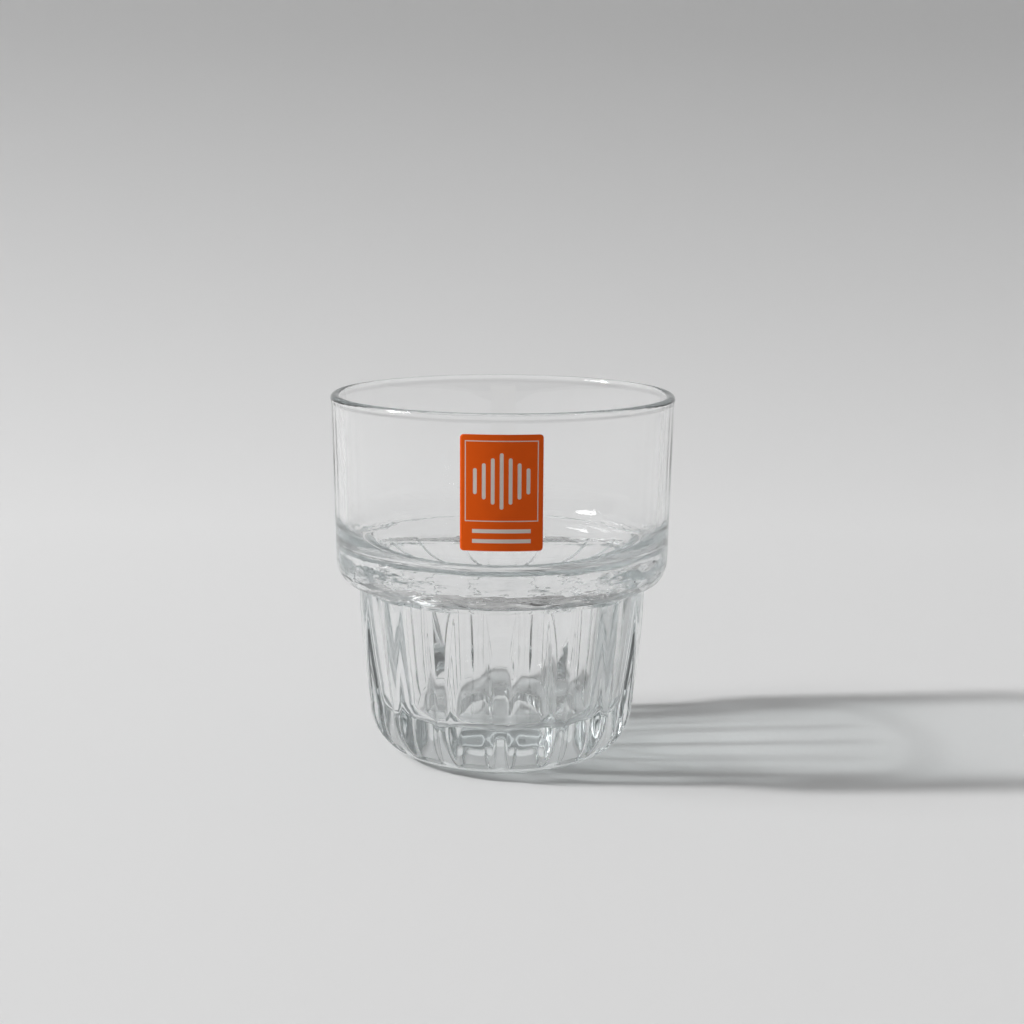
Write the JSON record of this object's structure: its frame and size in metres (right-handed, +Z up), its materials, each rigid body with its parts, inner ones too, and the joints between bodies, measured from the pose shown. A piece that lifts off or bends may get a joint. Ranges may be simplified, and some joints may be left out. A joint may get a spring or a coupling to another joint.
{
  "type": "stackable tea glass",
  "caption": "Clear pressed tea glass with a plain wide band, a rounded step and a narrower fluted foot that nests when stacked, and a plain label on its front.",
  "frame": {"origin": "centre of the standing ring, on the surface that the glass stands on", "axes": "+Z up along the glass's axis, -Y out of the front that carries the label, +X to the right seen from the front"},
  "size_m": [0.084, 0.084, 0.0895],
  "materials": {
    "clear_glass": "fire polished",
    "label_paper": "printed, satin"
  },
  "bodies": {
    "root": {"glass_body": "clear_glass", "front_label": "label_paper"}
  },
  "joints": []
}
